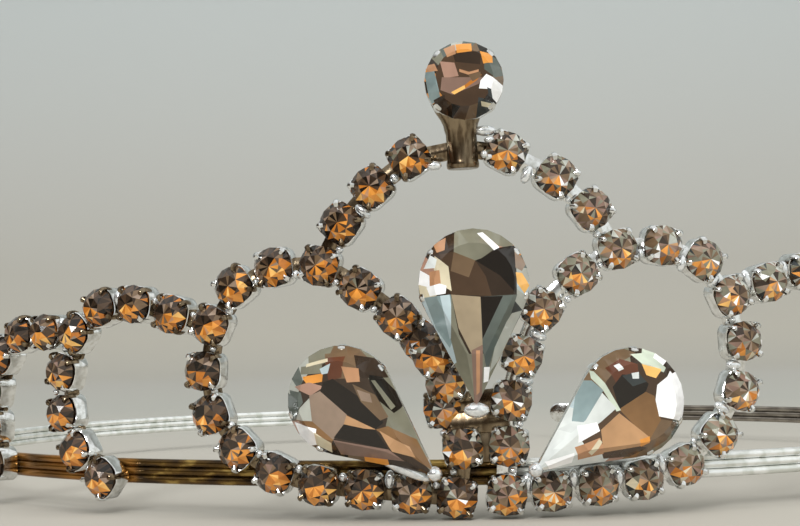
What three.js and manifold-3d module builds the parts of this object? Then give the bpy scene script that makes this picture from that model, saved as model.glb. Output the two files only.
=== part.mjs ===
// A bridal tiara: an open oval band of three wires, with cup chains of round crystals
// soldered to its front as two petals, an arch and two scallops a side, three
// teardrop crystals in the petals and arch, and one round crystal on a stem on top.
// Millimetres. +Z is up, the front faces -Y and the wearer's left is +X.
import * as THREE from 'three';
import { mergeVertices } from 'three/addons/utils/BufferGeometryUtils.js';
import Module from 'manifold-3d';

const wasm = await Module();
wasm.setup();

// ---- band ----
const BAND_HALF_WIDTH = 56.1; // centre line of the oval band, across
const BAND_HALF_DEPTH = 50.8; // and front to back
const BAND_END_ANGLE = 163.5; // degrees round from the front to where each end stops
const WIRE_RADIUS = 0.34;
const WIRE_SPACING = 0.72; // between the centres of the three wires
const WIRE_SIDES = 6;
const WIRE_STEPS = 64;
const TIP_LENGTH = 4.5;
const TIP_HEIGHT = 2.9;
const TIP_THICKNESS = 1.3;
const TIP_SOCKET = 3.2; // how far the wires reach into a tip

// ---- cup chain ----
const PITCH = 3.94; // from one crystal to the next, on the face of the ornament
const CUP_RADIUS = 1.72;
const CUP_DEPTH = 2;
const CUP_FLOOR = 0.5;
const CUP_WALL = 0.22;
const CUP_SIDES = 8;
const LINK_WIDTH = 1;
const LINK_THICKNESS = 0.36;
const LINK_DEPTH = 0.25; // centre of a link, above the backs of the cups
const STONE_RADIUS = 1.42;
const STONE_BACK = 0.6; // back, girdle and table, above the back of the cup
const STONE_GIRDLE = 2.05;
const STONE_TABLE = 2.9;
const TABLE_RADIUS = 0.8;

// ---- gaps and the surface that the ornament follows ----
const GAP = 0.1; // left open where two soldered pieces meet
const BACK_OUT = WIRE_RADIUS + 0.12; // backs of the cups, out from the band's centre line
const FACE_OUT = BACK_OUT + 2.4; // surface on which the chains keep their pitch
const LEAN = 0.03; // radians that the ornament leans out above the band
const TILT = 0.037; // sideways lean of the hand-soldered ornament, per millimetre up
const TILT_RISE = 0.85; // how much higher the +X side of it sits
const TILT_REACH = 24; // distance along the band and height at which it is all there
const TILT_HEIGHT = 8;

// ---- large crystals ----
const PEAR_RADIUS = 4.5; // round end of a teardrop setting
const PEAR_REACH = 2.2; // its tip, in radii from the middle of the round end
const PEAR_SIDES = 16;
const SIDE_PEAR_BACK = 0.6; // back of a setting, out from the backs of the cups
const CENTRE_PEAR_BACK = 1.35;
const FINIAL_RADIUS = 3.3;
const FINIAL_ALONG = 0.45; // its middle, a little to one side of its stem
const FINIAL_HEIGHT = 31.9;
const STEM_RADIUS = 1.35;
const STEM_FOOT = 24.9;
const PRONG_WIDTH = 1;
const PRONG_THICKNESS = 0.34;

const silver = new THREE.MeshStandardMaterial({
  color: 0xd8dadb,
  roughness: 0.16,
  metalness: 1,
});
const crystal = new THREE.MeshStandardMaterial({
  color: 0xb9ab98,
  roughness: 0.04,
  metalness: 0.1,
});
const tiara = new THREE.Group();
const rad = THREE.MathUtils.degToRad;

function add(name, geometry, material) {
  const mesh = new THREE.Mesh(geometry, material);
  mesh.name = name;
  tiara.add(mesh);
}

// ---- solids ----
function solid(geometry) {
  const bare = geometry.clone();
  bare.deleteAttribute('normal');
  bare.deleteAttribute('uv');
  const merged = mergeVertices(bare, 1e-4);
  const made = new wasm.Mesh({
    numProp: 3,
    vertProperties: new Float32Array(merged.attributes.position.array),
    triVerts: new Uint32Array(merged.index.array),
  });
  return new wasm.Manifold(made);
}

function geometryOf(made) {
  const mesh = made.getMesh();
  const geometry = new THREE.BufferGeometry();
  geometry.setAttribute('position', new THREE.BufferAttribute(mesh.vertProperties, 3));
  geometry.setIndex(new THREE.BufferAttribute(mesh.triVerts, 1));
  geometry.computeVertexNormals();
  return geometry;
}

const join = (solids) => solids.reduce((sum, next) => sum.add(next));

// A turned solid whose axis is +Z, from [radius, height] pairs that start and end on it.
function turned(profile, sides, start = Math.PI / sides) {
  const points = profile.map(([radius, height]) => new THREE.Vector2(radius, height));
  return new THREE.LatheGeometry(points, sides, start).rotateX(Math.PI / 2);
}

// Corner radius of a regular polygon whose flats are this far from its middle.
const corner = (flat, sides) => flat / Math.cos(Math.PI / sides);

// ---- the surface that the ornament follows ----
const front = -Math.PI / 2;
const halfOval = new THREE.EllipseCurve(
  0, 0, BAND_HALF_WIDTH + FACE_OUT, BAND_HALF_DEPTH + FACE_OUT, front, front + Math.PI);
halfOval.arcLengthDivisions = 2000;
const halfLength = halfOval.getLength();

const clamp01 = (value) => THREE.MathUtils.clamp(value, 0, 1);

// Shifts a point of the drawn ornament by the slight tilt that it was soldered on with.
function tilted(along, up) {
  const side = THREE.MathUtils.clamp(along / TILT_REACH, -1, 1);
  return [along - up * TILT, up + TILT_RISE * side * clamp01(up / TILT_HEIGHT)];
}

// A frame on the ornament: its origin is `out` from the backs of the cups, its X runs
// along the band, its Y is up and its Z points away from the wearer's head.
function frameAt(along, up, out = 0) {
  const [distance, height] = tilted(along, up);
  const at = Math.abs(distance) / halfLength;
  const side = Math.sign(distance) || 1;
  const point = halfOval.getPointAt(at);
  const tangent = halfOval.getTangentAt(at);
  const normal = new THREE.Vector3(side * tangent.y, -tangent.x, 0);
  const run = new THREE.Vector3(tangent.x, side * tangent.y, 0);
  const lean = Math.max(height, 0) * LEAN;
  const origin = new THREE.Vector3(side * point.x, point.y, height)
    .addScaledVector(normal, BACK_OUT - FACE_OUT + out + lean);
  return new THREE.Matrix4().makeBasis(run, new THREE.Vector3(0, 0, 1), normal).setPosition(origin);
}

const originOf = (frame) => new THREE.Vector3().setFromMatrixPosition(frame);
const normalOf = (frame) => new THREE.Vector3().setFromMatrixColumn(frame, 2);

// A flat bar from one point to another whose thickness is along `normal`.
function bar(from, to, normal, width, thickness) {
  const run = new THREE.Vector3().subVectors(to, from);
  const length = run.length();
  run.normalize();
  const across = new THREE.Vector3().crossVectors(normal, run).normalize();
  const out = new THREE.Vector3().crossVectors(run, across);
  const middle = new THREE.Vector3().addVectors(from, to).multiplyScalar(0.5);
  const place = new THREE.Matrix4().makeBasis(run, across, out).setPosition(middle);
  return solid(new THREE.BoxGeometry(length, width, thickness).applyMatrix4(place));
}

// ---- cup chains ----
// Walks a chain from its first crystal. Each step is a heading, in degrees up from the
// direction away from the middle of the tiara, or where the chain is kinked a heading,
// the distance to the next crystal and how far that one is pushed back.
function walk(start, steps) {
  let [along, up] = start;
  const turns = steps.map((step) => [step, PITCH, 0].map((usual, i) => step[i] ?? usual));
  const places = [{ along, up, back: 0, heading: turns[0][0] }];
  turns.forEach(([heading, length, back], i) => {
    along += length * Math.cos(rad(heading));
    up += length * Math.sin(rad(heading));
    const next = turns[i + 1]?.[0] ?? heading;
    places.push({ along, up, back, heading: (heading + next) / 2 });
  });
  return places;
}

const seatOf = (side, place) => frameAt(side * place.along, place.up, -place.back)
  .multiply(new THREE.Matrix4().makeRotationZ(side * rad(place.heading)));

const cupCorner = corner(CUP_RADIUS, CUP_SIDES);
const wallCorner = corner(CUP_RADIUS - CUP_WALL, CUP_SIDES);
const stoneCorner = corner(STONE_RADIUS, CUP_SIDES);
const cup = turned(
  [[0, 0], [cupCorner, 0], [cupCorner, CUP_DEPTH], [0, CUP_DEPTH]], CUP_SIDES);
const cupWithStone = turned([
  [0, 0], [cupCorner, 0], [cupCorner, CUP_DEPTH], [stoneCorner, STONE_GIRDLE],
  [TABLE_RADIUS, STONE_TABLE], [0, STONE_TABLE],
], CUP_SIDES);
const recess = turned([
  [0, CUP_FLOOR], [wallCorner, CUP_FLOOR], [wallCorner, STONE_TABLE + 1], [0, STONE_TABLE + 1],
], CUP_SIDES);
const looseStone = turned([
  [0, STONE_BACK], [TABLE_RADIUS, STONE_BACK], [stoneCorner, STONE_GIRDLE],
  [TABLE_RADIUS, STONE_TABLE], [0, STONE_TABLE],
], CUP_SIDES);
const cupKeepOut = turned([
  [0, -1], [cupCorner + GAP, -1], [cupCorner + GAP, STONE_TABLE + 1], [0, STONE_TABLE + 1],
], CUP_SIDES);

// The link between two seats lies in the floor of their cups.
function link(fromSeat, toSeat, depth = LINK_DEPTH) {
  const normal = normalOf(fromSeat).add(normalOf(toSeat)).normalize();
  const from = originOf(fromSeat).addScaledVector(normalOf(fromSeat), depth);
  const to = originOf(toSeat).addScaledVector(normalOf(toSeat), depth);
  return bar(from, to, normal, LINK_WIDTH, LINK_THICKNESS);
}

const placed = (geometry, seat) => solid(geometry.clone().applyMatrix4(seat));
const keepOut = (seat) => placed(cupKeepOut, seat);
const linksOf = (seats) => seats.slice(1).map((seat, i) => link(seats[i], seat));

// One soldered run of cups that hold their crystals, with `stub` reaching back from it.
function scallop(name, seats, stub) {
  const cups = seats.map((seat) => placed(cupWithStone, seat));
  add(name, geometryOf(join([...cups, ...linksOf(seats), stub])), silver);
}

// A petal: along the band, round the outside, over the top, down the inside and down
// the middle column. Its inner side is bent a little differently on each side.
const PETAL_START = [5.78, -1.49];
const PETAL_OUTSIDE = [5, 5, 15, 34, 55, 83, 104, 128, 160, 182];
const PETAL_INSIDE = {
  left: [
    208.5, [220.7, 4.17], [243.5, 4.14], [252.8, 3.72], [263.7, 3.67], [263.9, 3.94],
  ],
  right: [
    212, 220, [231, 2.61, 2.3], [230, 1.64], [249, 2.47, 1], [279, 2.13, 1.9],
    [246.3, 3.58], [279.6, 4.01],
  ],
};
const ARCH_FROM = 10; // the petal crystals that the arch and the scallop leave from
const SCALLOP_FROM = 7;
const ARCH_HEADINGS = { left: [121, 135, [151.2, 4.57]], right: [121, 135, 146] };
const SECOND_HEADINGS = [16, 14, -3, -33, -61, -87, -111, -140];
const THIRD_FROM = 4; // counted from the petal, along the second scallop's headings
const THIRD_HEADINGS = [2, -2, -28, -56, -82, -93];

const stem = solid(turned(
  [[0, 0], [corner(STEM_RADIUS, 12), 0], [corner(STEM_RADIUS, 12), 1], [0, 1]], 12));

function stemSolid(grow) {
  const top = FINIAL_HEIGHT - FINIAL_RADIUS - GAP + grow;
  const foot = STEM_FOOT - grow;
  const size = (STEM_RADIUS + grow) / STEM_RADIUS;
  const frame = frameAt(0, STEM_FOOT, STEM_RADIUS + GAP);
  const base = originOf(frame);
  const top3 = originOf(frameAt(0, top, STEM_RADIUS + GAP));
  const shift = (foot - STEM_FOOT) / (top - STEM_FOOT);
  base.lerp(top3, shift);
  const run = new THREE.Vector3().subVectors(top3, base);
  const out = normalOf(frame);
  const across = new THREE.Vector3().crossVectors(run, out).normalize();
  const back = new THREE.Vector3().crossVectors(across, run).normalize().multiplyScalar(-1);
  across.multiplyScalar(-size);
  back.multiplyScalar(size);
  const place = new THREE.Matrix4().makeBasis(across, back, run).setPosition(base);
  return stem.transform(place.elements);
}

function petalChain(hand, side, places, seats) {
  const front = places.map((place) => place.back === 0);
  const cups = seats.map((seat, i) => placed(front[i] ? cup : cupWithStone, seat));
  const run = join([...cups, ...linksOf([...seats, seats[0]])]);
  const frontSeats = seats.filter((seat, i) => front[i]);
  const recesses = join(frontSeats.map((seat) => placed(recess, seat)));
  add(`petal_chain_${hand}`, geometryOf(run.subtract(recesses)), silver);
  frontSeats.forEach((seat, i) => {
    const number = String(i + 1).padStart(2, '0');
    add(`petal_stone_${hand}_${number}`, looseStone.clone().applyMatrix4(seat), crystal);
  });
}

for (const [hand, side] of [['left', 1], ['right', -1]]) {
  const petal = walk(PETAL_START, [...PETAL_OUTSIDE, ...PETAL_INSIDE[hand]]);
  const petalSeats = petal.map((place) => seatOf(side, place));
  petalChain(hand, side, petal, petalSeats);

  const archStart = petal[ARCH_FROM];
  const arch = walk([archStart.along, archStart.up], ARCH_HEADINGS[hand]);
  const archSeats = arch.map((place) => seatOf(side, place));
  const toPetal = link(archSeats[0], archSeats[1]).subtract(keepOut(petalSeats[ARCH_FROM]));
  const stemSeat = frameAt(0, arch.at(-1).up);
  const toStem = link(archSeats.at(-1), stemSeat, 1).subtract(stemSolid(GAP));
  scallop(`arch_chain_${hand}`, archSeats.slice(1), toPetal.add(toStem));

  const outer = petal[SCALLOP_FROM];
  const second = walk([outer.along, outer.up], SECOND_HEADINGS);
  const secondSeats = second.map((place) => seatOf(side, place));
  const secondStub = link(secondSeats[0], secondSeats[1])
    .subtract(keepOut(petalSeats[SCALLOP_FROM]));
  scallop(`second_scallop_${hand}`, secondSeats.slice(1), secondStub);

  const from = second[THIRD_FROM];
  const third = walk([from.along, from.up], THIRD_HEADINGS);
  const thirdSeats = third.map((place) => seatOf(side, place));
  const thirdStub = link(thirdSeats[0], thirdSeats[1]).subtract(keepOut(secondSeats[THIRD_FROM]));
  scallop(`third_scallop_${hand}`, thirdSeats.slice(1), thirdStub);
}

// ---- band ----
class BandLine extends THREE.Curve {
  constructor(height, from, to) {
    super();
    this.height = height;
    this.from = rad(from);
    this.to = rad(to);
  }

  getPoint(t, target = new THREE.Vector3()) {
    const angle = this.from + (this.to - this.from) * t;
    return target.set(
      BAND_HALF_WIDTH * Math.sin(angle), -BAND_HALF_DEPTH * Math.cos(angle), this.height);
  }
}

function wireSection(radius) {
  const shape = new THREE.Shape();
  for (let i = 0; i < WIRE_SIDES; i += 1) {
    const angle = (i / WIRE_SIDES) * 2 * Math.PI;
    const point = [radius * Math.cos(angle), radius * Math.sin(angle)];
    if (i === 0) shape.moveTo(...point);
    else shape.lineTo(...point);
  }
  return shape;
}

function wire(height, radius = WIRE_RADIUS) {
  return new THREE.ExtrudeGeometry(wireSection(radius), {
    steps: WIRE_STEPS,
    bevelEnabled: false,
    extrudePath: new BandLine(height, -BAND_END_ANGLE, BAND_END_ANGLE),
  });
}

const wireHeights = { top: WIRE_SPACING, middle: 0, bottom: -WIRE_SPACING };
for (const [place, height] of Object.entries(wireHeights)) {
  add(`band_wire_${place}`, wire(height), silver);
}

// A tip closes the three wire ends. Its round end points along the band, past them.
function tip(side) {
  const line = new BandLine(0, 0, side * BAND_END_ANGLE);
  const end = line.getPoint(1);
  const run = line.getTangent(1);
  const out = new THREE.Vector3().crossVectors(run, new THREE.Vector3(0, 0, 1));
  const half = TIP_HEIGHT / 2;
  const outline = new THREE.Shape();
  outline.moveTo(-TIP_SOCKET, -half);
  outline.lineTo(TIP_LENGTH - TIP_SOCKET - half, -half);
  outline.absarc(TIP_LENGTH - TIP_SOCKET - half, 0, half, -Math.PI / 2, Math.PI / 2);
  outline.lineTo(-TIP_SOCKET, half);
  outline.closePath();
  const plate = new THREE.ExtrudeGeometry(outline, {
    depth: TIP_THICKNESS,
    bevelEnabled: false,
    curveSegments: 10,
  }).translate(0, 0, -TIP_THICKNESS / 2);
  const place = new THREE.Matrix4().makeBasis(run, new THREE.Vector3(0, 0, 1), out);
  plate.applyMatrix4(place.setPosition(end));
  const sockets = join(Object.values(wireHeights).map((h) => solid(wire(h, WIRE_RADIUS + GAP))));
  return solid(plate).subtract(sockets);
}
add('band_tip_left', geometryOf(tip(1)), silver);
add('band_tip_right', geometryOf(tip(-1)), silver);

// ---- teardrops ----
// Draws the ring of a turned solid out to a tip on its -Y side: straight flanks meet the
// round end where they touch it.
function teardrop(geometry) {
  const touch = Math.acos(1 / PEAR_REACH);
  const position = geometry.attributes.position;
  for (let i = 0; i < position.count; i += 1) {
    const x = position.getX(i);
    const y = position.getY(i);
    const fromTip = Math.abs(Math.atan2(x, -y));
    if (Math.hypot(x, y) > 1e-6 && fromTip < touch) {
      const stretch = 1 / Math.cos(touch - fromTip);
      position.setXY(i, x * stretch, y * stretch);
    }
  }
  return geometry;
}

function prong(angle, radius, low, high) {
  const box = new THREE.BoxGeometry(PRONG_WIDTH, PRONG_THICKNESS, high - low);
  box.translate(0, radius, (low + high) / 2);
  return solid(box.rotateZ(angle));
}

// A setting and the crystal in it, as [radius, height] profiles of its back, wall and rim.
const PEAR_WALL = 0.28;
const PEAR_TAPER = 1.9; // how far the back is drawn in
const PEAR_SHOULDER = 1.9;
const PEAR_RIM = 2.4;
const PEAR_TOP = 4.4;

function settingProfile(radius, shoulder, rim) {
  return [
    [0, 0], [radius - PEAR_TAPER, 0], [radius, shoulder], [radius, rim],
    [radius - PEAR_WALL, rim], [radius - PEAR_WALL, shoulder],
    [radius - PEAR_WALL - PEAR_TAPER, PEAR_WALL], [0, PEAR_WALL],
  ];
}

function crystalProfile(radius, shoulder, rim, top) {
  const girdle = radius - PEAR_WALL - GAP;
  return [
    [0, PEAR_WALL + GAP], [girdle - PEAR_TAPER, PEAR_WALL + GAP], [girdle, shoulder + GAP],
    [girdle, rim + GAP], [girdle * 0.5, top], [0, top],
  ];
}

// A bead of solder closes the tip, as its half width and how far it sits past the tip.
const TIP_BEAD = { side: [0.62, -0.1], centre: [1.05, 0.35] };
const TIP_BEAD_RADIUS = 0.62;

function pear(name, along, up, back, fromUpright, [beadHalfWidth, beadPast]) {
  const place = frameAt(along, up, back)
    .multiply(new THREE.Matrix4().makeRotationZ(fromUpright));
  const profile = settingProfile(PEAR_RADIUS, PEAR_SHOULDER, PEAR_RIM);
  const shell = teardrop(turned(profile, PEAR_SIDES, 0));
  const tipBead = new THREE.SphereGeometry(TIP_BEAD_RADIUS, 8, 6);
  tipBead.scale(beadHalfWidth / TIP_BEAD_RADIUS, 1, 1);
  tipBead.translate(0, -PEAR_RADIUS * PEAR_REACH - beadPast, PEAR_RIM);
  const prongs = [0.3, -0.3].map((turn) =>
    prong(turn * Math.PI, PEAR_RADIUS - PRONG_THICKNESS / 2, PEAR_SHOULDER, PEAR_RIM + 0.7));
  const gem = teardrop(turned(
    crystalProfile(PEAR_RADIUS, PEAR_SHOULDER, PEAR_RIM, PEAR_TOP), PEAR_SIDES, 0));
  const clearance = teardrop(turned(
    crystalProfile(PEAR_RADIUS + GAP * 0.8, PEAR_SHOULDER, PEAR_RIM, PEAR_TOP + 1), PEAR_SIDES, 0));
  const setting = join([solid(shell), solid(tipBead), ...prongs]).subtract(solid(clearance));
  add(`${name}_setting`, geometryOf(setting).applyMatrix4(place), silver);
  add(`${name}_crystal`, gem.applyMatrix4(place), crystal);
}

// Each side teardrop lies along its petal with its tip beside the middle column, and
// the two rise from the horizontal by slightly different angles, in degrees.
const CENTRE_PEAR = [0.25, 15.4];
const SIDE_PEAR_TIP = { left: [4.1, 0], right: [3.15, 0.4] };
const SIDE_PEAR_ANGLE = { left: 32.5, right: 38.5 };
pear('centre_teardrop', ...CENTRE_PEAR, CENTRE_PEAR_BACK, 0, TIP_BEAD.centre);
for (const [hand, side] of [['left', 1], ['right', -1]]) {
  const rise = rad(SIDE_PEAR_ANGLE[hand]);
  const along = SIDE_PEAR_TIP[hand][0] + PEAR_RADIUS * PEAR_REACH * Math.cos(rise);
  const up = SIDE_PEAR_TIP[hand][1] + PEAR_RADIUS * PEAR_REACH * Math.sin(rise);
  const fromUpright = side * (rise - Math.PI / 2);
  pear(`${hand}_teardrop`, side * along, up, SIDE_PEAR_BACK, fromUpright, TIP_BEAD.side);
}

// ---- finial ----
const FINIAL_SIDES = 16;
const FINIAL_SHOULDER = 1.7;
const FINIAL_RIM = 2.8;
const FINIAL_TOP = 4.3;
const finialPlace = frameAt(FINIAL_ALONG, FINIAL_HEIGHT);
const finialCup = turned(
  settingProfile(FINIAL_RADIUS, FINIAL_SHOULDER, FINIAL_RIM), FINIAL_SIDES);
const finialProngs = [1, 3, 5, 7].map((eighth) =>
  prong((eighth * Math.PI) / 4, FINIAL_RADIUS - PRONG_THICKNESS / 2 - 0.05,
    FINIAL_SHOULDER, FINIAL_RIM + 1));
const finialClearance = turned(
  crystalProfile(FINIAL_RADIUS + GAP * 0.8, FINIAL_SHOULDER, FINIAL_RIM, FINIAL_TOP + 1),
  FINIAL_SIDES);
const finialSetting = join([solid(finialCup), ...finialProngs]).subtract(solid(finialClearance));
add('finial_cup', geometryOf(finialSetting).applyMatrix4(finialPlace), silver);
add('finial_crystal', turned(
  crystalProfile(FINIAL_RADIUS, FINIAL_SHOULDER, FINIAL_RIM, FINIAL_TOP), FINIAL_SIDES,
).applyMatrix4(finialPlace), crystal);
add('finial_stem', geometryOf(stemSolid(0)), silver);

// The origin is under the middle of the tiara, level with its lowest cups.
const box = new THREE.Box3().setFromObject(tiara, true);
const middle = box.getCenter(new THREE.Vector3());
tiara.position.set(-middle.x, -middle.y, -box.min.z);

export default tiara;
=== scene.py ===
"""The looks of a bridal tiara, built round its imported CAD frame.

Every piece is worked out in millimetres on the same surface as the CAD design, from the
driving dimensions below, and is written to Blender in metres.
"""

import math
import random

import bpy
import numpy as np
from mathutils import Matrix, Vector
from mathutils.geometry import delaunay_2d_cdt


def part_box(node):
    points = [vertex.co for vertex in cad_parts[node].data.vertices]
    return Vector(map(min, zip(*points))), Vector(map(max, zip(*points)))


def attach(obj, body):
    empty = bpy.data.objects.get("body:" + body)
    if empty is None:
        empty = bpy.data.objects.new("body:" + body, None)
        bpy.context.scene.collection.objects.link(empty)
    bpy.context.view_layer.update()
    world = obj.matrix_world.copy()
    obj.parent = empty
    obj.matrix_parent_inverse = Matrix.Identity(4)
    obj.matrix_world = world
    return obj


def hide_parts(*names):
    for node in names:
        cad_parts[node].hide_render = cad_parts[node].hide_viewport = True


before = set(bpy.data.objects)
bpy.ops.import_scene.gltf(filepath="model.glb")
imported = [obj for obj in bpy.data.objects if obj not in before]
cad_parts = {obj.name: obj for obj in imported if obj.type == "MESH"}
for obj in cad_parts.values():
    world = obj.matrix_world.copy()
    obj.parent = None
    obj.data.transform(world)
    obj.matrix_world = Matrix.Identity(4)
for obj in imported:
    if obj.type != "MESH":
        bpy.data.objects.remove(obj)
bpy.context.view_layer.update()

# ---- the design, in millimetres and degrees, as the CAD has it ----
BAND_HALF_WIDTH = 56.1  # centre line of the oval band, across
BAND_HALF_DEPTH = 50.8  # and front to back
BAND_END_ANGLE = 163.5  # round from the front to where each end stops
WIRE_RADIUS = 0.34
WIRE_SPACING = 0.72  # between the centres of the three wires
TIP_LENGTH = 4.5
TIP_HEIGHT = 2.9
TIP_THICKNESS = 1.3
TIP_SOCKET = 3.2  # how far the wires reach into a tip

PITCH = 3.94  # from one crystal to the next, on the face of the ornament
BACK_OUT = WIRE_RADIUS + 0.12  # backs of the cups, out from the band's centre line
FACE_OUT = BACK_OUT + 2.4  # surface on which the chains keep their pitch
LEAN = 0.03  # radians that the ornament leans out above the band
TILT = 0.037  # its sideways lean, per millimetre up
TILT_RISE = 0.85  # how much higher the +X side of it sits
TILT_REACH = 24  # distance along the band and height at which it is all there
TILT_HEIGHT = 8

# Chains, by crystal: the first one's place, then the heading to each next one, which may
# come with its own distance and how far the crystal is pushed back.
PETAL_START = (5.78, -1.49)
PETAL_OUTSIDE = [5, 5, 15, 34, 55, 83, 104, 128, 160, 182]
PETAL_INSIDE = {
    "left": [
        208.5, (220.7, 4.17), (243.5, 4.14), (252.8, 3.72), (263.7, 3.67), (263.9, 3.94),
    ],
    "right": [
        212, 220, (231, 2.61, 2.3), (230, 1.64), (249, 2.47, 1), (279, 2.13, 1.9),
        (246.3, 3.58), (279.6, 4.01),
    ],
}
ARCH_FROM = 10  # the petal crystals that the arch and the scallop leave from
SCALLOP_FROM = 7
ARCH_HEADINGS = {"left": [121, 135, (151.2, 4.57)], "right": [121, 135, 146]}
SECOND_HEADINGS = [16, 14, -3, -33, -61, -87, -111, -140]
THIRD_FROM = 4  # counted along the second scallop
THIRD_HEADINGS = [2, -2, -28, -56, -82, -93]

PEAR_RADIUS = 4.5  # round end of a teardrop setting
PEAR_REACH = 2.2  # its tip, in radii from the middle of the round end
CENTRE_PEAR = (0.25, 15.4, 1.35)  # along, up and how far its back stands out
SIDE_PEAR_BACK = 0.6
SIDE_PEAR_TIP = {"left": (4.1, 0), "right": (3.15, 0.4)}
SIDE_PEAR_ANGLE = {"left": 32.5, "right": 38.5}
TIP_BEAD_RADIUS = 0.62
TIP_BEAD = {"centre": (1.05, 0.35), "side": (0.62, -0.1)}  # half its width, and past the tip
FINIAL_RADIUS = 3.3
FINIAL_ALONG = 0.45  # its middle, a little to one side of its stem
FINIAL_HEIGHT = 31.9
STEM_RADIUS = 1.35
STEM_FOOT = 24.9
SIDES = {"left": 1, "right": -1}  # the wearer's, along X

MM = 0.001
TURN = 2 * math.pi
rad = math.radians

# The middle of the band in the row's frame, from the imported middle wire, whose flat sides
# reach less far out than a round wire's.
wire_low, wire_high = (Vector(v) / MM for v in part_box("band_wire_middle"))
WIRE_REACH = (wire_high.x - wire_low.x) / 2 - BAND_HALF_WIDTH
BAND_MIDDLE = Vector((
    (wire_low.x + wire_high.x) / 2,
    wire_low.y + BAND_HALF_DEPTH + WIRE_REACH,
    (wire_low.z + wire_high.z) / 2,
))
TO_ROW = Matrix.Scale(MM, 4) @ Matrix.Translation(BAND_MIDDLE)


# ---- the surface that the ornament follows ----
def oval_table():
    """Angles round the face of the ornament from its front, and the way along it to each."""
    angle = np.linspace(0, math.pi, 6001)
    x = (BAND_HALF_WIDTH + FACE_OUT) * np.sin(angle)
    y = -(BAND_HALF_DEPTH + FACE_OUT) * np.cos(angle)
    return angle, np.concatenate([[0], np.cumsum(np.hypot(np.diff(x), np.diff(y)))])


OVAL_ANGLES, OVAL_LENGTHS = oval_table()


def clamp(value, low, high):
    return max(low, min(high, value))


def frame_at(along, up, out=0.0):
    """A frame on the ornament: X along the band, Y up, Z away from the wearer's head."""
    rise = TILT_RISE * clamp(along / TILT_REACH, -1, 1) * clamp(up / TILT_HEIGHT, 0, 1)
    distance, height = along - up * TILT, up + rise
    side = -1 if distance < 0 else 1
    angle = np.interp(abs(distance), OVAL_LENGTHS, OVAL_ANGLES)
    wide, deep = BAND_HALF_WIDTH + FACE_OUT, BAND_HALF_DEPTH + FACE_OUT
    point = Vector((side * wide * math.sin(angle), -deep * math.cos(angle), height))
    run = Vector((wide * math.cos(angle), side * deep * math.sin(angle), 0)).normalized()
    normal = run.cross(Vector((0, 0, 1)))
    point += normal * (BACK_OUT - FACE_OUT + out + max(height, 0) * LEAN)
    turn = Matrix((run, (0, 0, 1), normal)).transposed().to_4x4()
    return Matrix.Translation(point) @ turn


def walk(start, steps):
    """The crystals of a chain: (along, up, pushed back, heading) from the first one on."""
    turns = [(*step, *(PITCH, 0)[len(step) - 1:]) if isinstance(step, tuple) else (step, PITCH, 0)
             for step in steps]
    along, up = start
    places = [(along, up, 0, turns[0][0])]
    for i, (heading, length, back) in enumerate(turns):
        along += length * math.cos(rad(heading))
        up += length * math.sin(rad(heading))
        following = turns[i + 1][0] if i + 1 < len(turns) else heading
        places.append((along, up, back, (heading + following) / 2))
    return places


def seat(side, place):
    """The frame of one cup: X along the chain, Z out of the stone's table."""
    along, up, back, heading = place
    turn = Matrix.Rotation(side * rad(heading), 4, "Z")
    return frame_at(side * along, up, -back) @ turn


# ---- meshes ----
KNIT = 1000  # corners are knitted on a grid of this many steps to the millimetre
KNIT_SLACK = 2 / KNIT


def add_object(name, data):
    obj = bpy.data.objects.new(name, data)
    bpy.context.collection.objects.link(obj)
    return obj


def on_edge(points, first, last, first_shade, last_shade):
    """The points strictly inside an edge, in order, each with its share of the colours."""
    start, run = points[first], points[last] - points[first]
    length = np.linalg.norm(run)
    if length == 0:
        return []
    share = (points - start) @ run / length**2
    off = np.linalg.norm(points - start - share[:, None] * run, axis=1)
    inside = np.flatnonzero((off < KNIT_SLACK) & (share * length > KNIT_SLACK)
                            & ((1 - share) * length > KNIT_SLACK))
    return [(int(i), tuple(a + share[i] * (b - a) for a, b in zip(first_shade, last_shade)))
            for i in inside[np.argsort(share[inside])]]


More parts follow.
